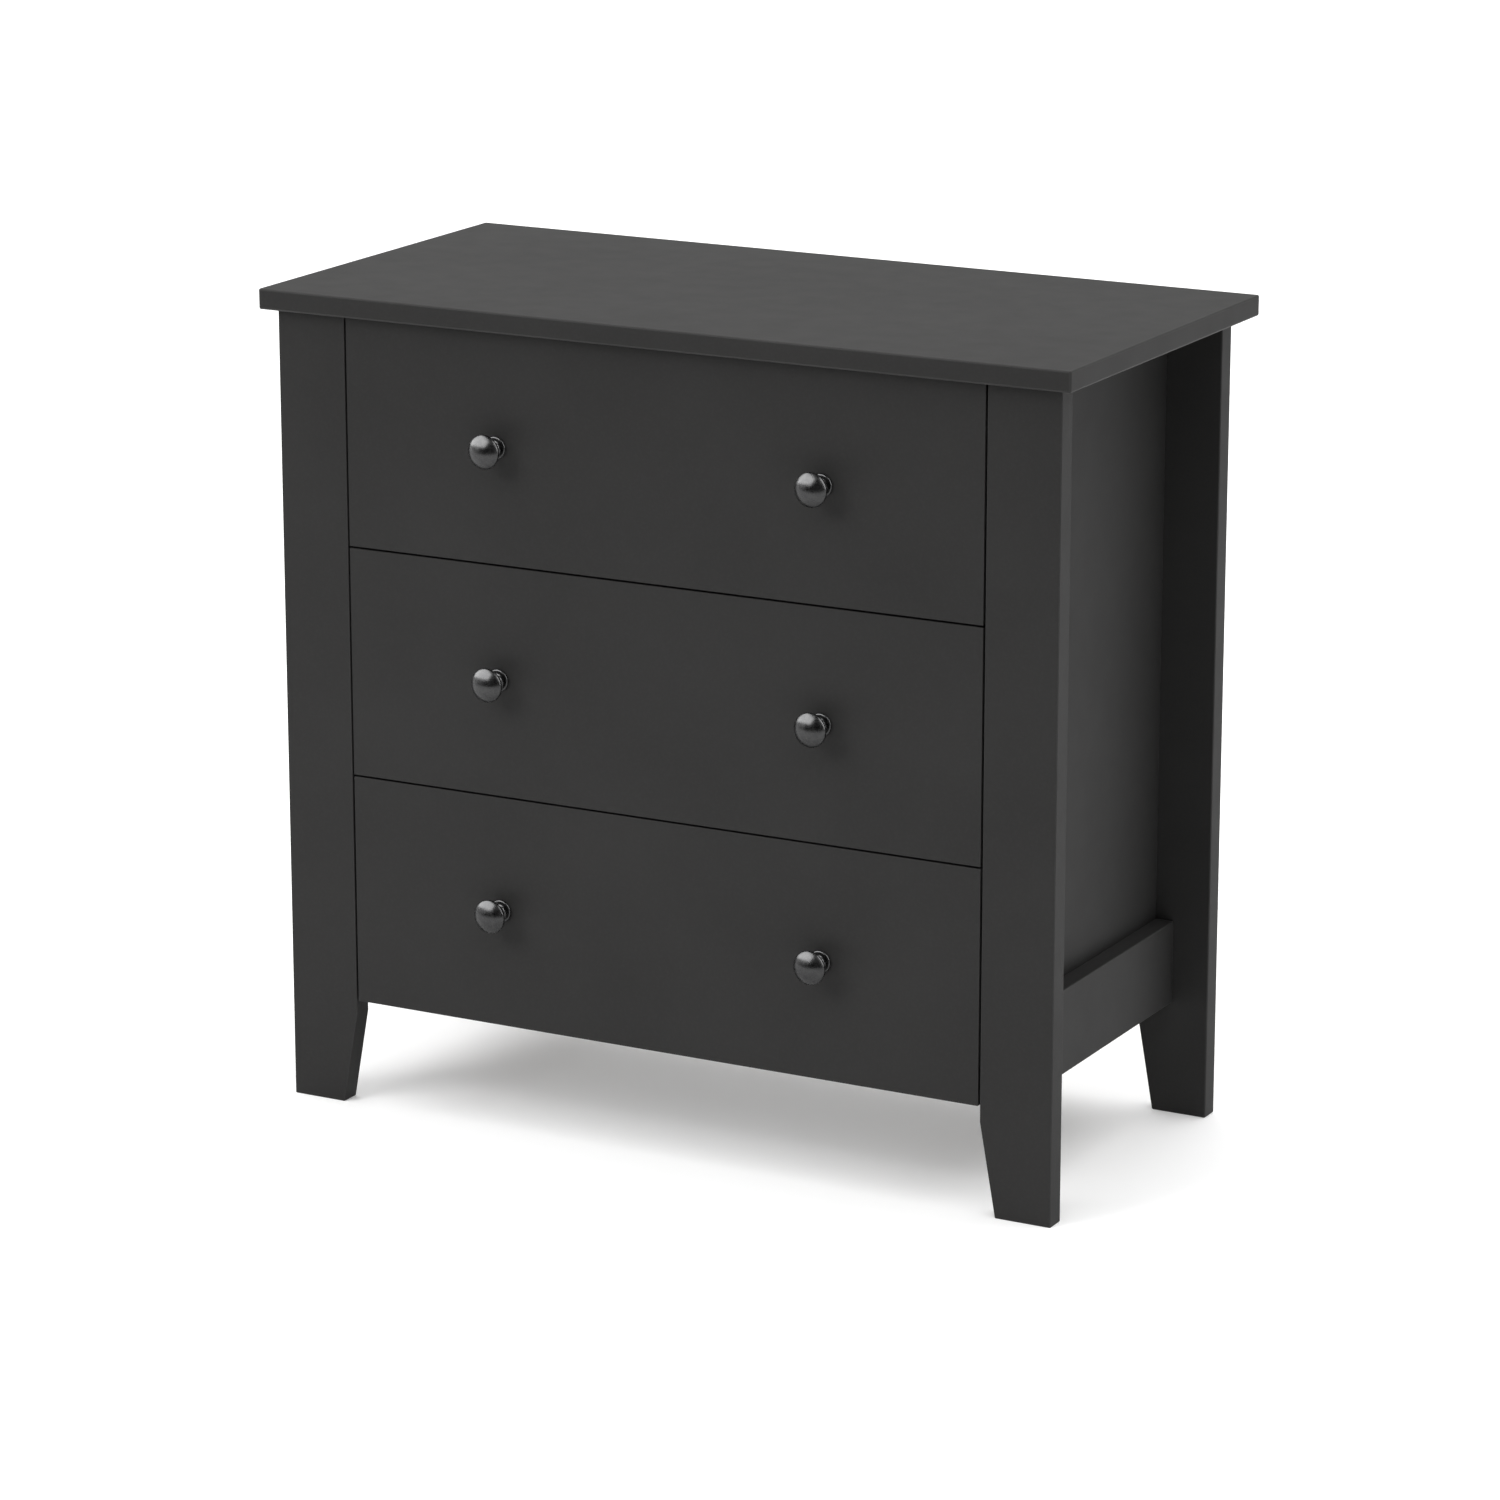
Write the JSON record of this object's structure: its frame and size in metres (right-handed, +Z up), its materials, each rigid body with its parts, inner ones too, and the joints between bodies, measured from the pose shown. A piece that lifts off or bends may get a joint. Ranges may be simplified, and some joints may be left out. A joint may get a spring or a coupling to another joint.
{
  "type": "chest of drawers",
  "caption": "Free-standing painted bedside chest with inset drawers on ball-bearing slides, round metal knobs and flat tapered legs under an overhanging top.",
  "frame": {"origin": "on the floor, under the middle of the whole piece with its knobs", "axes": "+X to the right as seen from the front, +Y to the back, +Z up; the drawers open towards -Y"},
  "size_m": [0.8, 0.412, 0.758],
  "materials": {
    "painted_board": "satin charcoal paint on board",
    "drawer_plywood": "clear-lacquered birch plywood",
    "drawer_bottom_foil": "light grey linen foil on thin fibreboard",
    "hardboard": "bare brown hardboard",
    "slide_steel": "zinc-plated rolled steel",
    "knob_metal": "polished black nickel",
    "screw_steel": "zinc-plated steel"
  },
  "bodies": {
    "root": {"back_panel": "hardboard", "bottom_rail_front": "painted_board", "bottom_rail_rear": "painted_board", "front_leg_left": "painted_board", "front_leg_right": "painted_board", "rear_leg_left": "painted_board", "rear_leg_right": "painted_board", "side_panel_left": "painted_board", "side_panel_right": "painted_board", "side_rail_left": "painted_board", "side_rail_right": "painted_board", "top_panel": "painted_board", "top_rail_front": "painted_board", "top_rail_rear": "painted_board", "bottom_slide_cabinet_left": "slide_steel", "bottom_slide_cabinet_right": "slide_steel", "middle_slide_cabinet_left": "slide_steel", "middle_slide_cabinet_right": "slide_steel", "top_slide_cabinet_left": "slide_steel", "top_slide_cabinet_right": "slide_steel"},
    "top_drawer": {"top_drawer_back": "drawer_plywood", "top_drawer_bottom": "drawer_bottom_foil", "top_drawer_front": "painted_board", "top_drawer_side_left": "drawer_plywood", "top_drawer_side_right": "drawer_plywood", "top_knob_left": "knob_metal", "top_knob_right": "knob_metal", "top_knob_screw_left": "screw_steel", "top_knob_screw_right": "screw_steel", "top_slide_drawer_left": "slide_steel", "top_slide_drawer_right": "slide_steel"},
    "top_slide_middles": {"top_slide_middle_left": "slide_steel", "top_slide_middle_right": "slide_steel"},
    "middle_drawer": {"middle_drawer_back": "drawer_plywood", "middle_drawer_bottom": "drawer_bottom_foil", "middle_drawer_front": "painted_board", "middle_drawer_side_left": "drawer_plywood", "middle_drawer_side_right": "drawer_plywood", "middle_knob_left": "knob_metal", "middle_knob_right": "knob_metal", "middle_knob_screw_left": "screw_steel", "middle_knob_screw_right": "screw_steel", "middle_slide_drawer_left": "slide_steel", "middle_slide_drawer_right": "slide_steel"},
    "middle_slide_middles": {"middle_slide_middle_left": "slide_steel", "middle_slide_middle_right": "slide_steel"},
    "bottom_drawer": {"bottom_drawer_back": "drawer_plywood", "bottom_drawer_bottom": "drawer_bottom_foil", "bottom_drawer_front": "painted_board", "bottom_drawer_side_left": "drawer_plywood", "bottom_drawer_side_right": "drawer_plywood", "bottom_knob_left": "knob_metal", "bottom_knob_right": "knob_metal", "bottom_knob_screw_left": "screw_steel", "bottom_knob_screw_right": "screw_steel", "bottom_slide_drawer_left": "slide_steel", "bottom_slide_drawer_right": "slide_steel"},
    "bottom_slide_middles": {"bottom_slide_middle_left": "slide_steel", "bottom_slide_middle_right": "slide_steel"}
  },
  "joints": [
    {"name": "top_drawer_slide", "type": "slide", "parent": "root", "child": "top_drawer", "axis": [0, -1, 0], "range_m": [0, 0.29]},
    {"name": "top_middles_slide", "type": "slide", "parent": "root", "child": "top_slide_middles", "axis": [0, -1, 0], "range_m": [0, 0.145]},
    {"name": "middle_drawer_slide", "type": "slide", "parent": "root", "child": "middle_drawer", "axis": [0, -1, 0], "range_m": [0, 0.29]},
    {"name": "middle_middles_slide", "type": "slide", "parent": "root", "child": "middle_slide_middles", "axis": [0, -1, 0], "range_m": [0, 0.145]},
    {"name": "bottom_drawer_slide", "type": "slide", "parent": "root", "child": "bottom_drawer", "axis": [0, -1, 0], "range_m": [0, 0.29]},
    {"name": "bottom_middles_slide", "type": "slide", "parent": "root", "child": "bottom_slide_middles", "axis": [0, -1, 0], "range_m": [0, 0.145]}
  ],
  "couplings": [
    {"joint": "top_middles_slide", "follows": "top_drawer_slide", "ratio": 0.5},
    {"joint": "middle_middles_slide", "follows": "middle_drawer_slide", "ratio": 0.5},
    {"joint": "bottom_middles_slide", "follows": "bottom_drawer_slide", "ratio": 0.5}
  ]
}
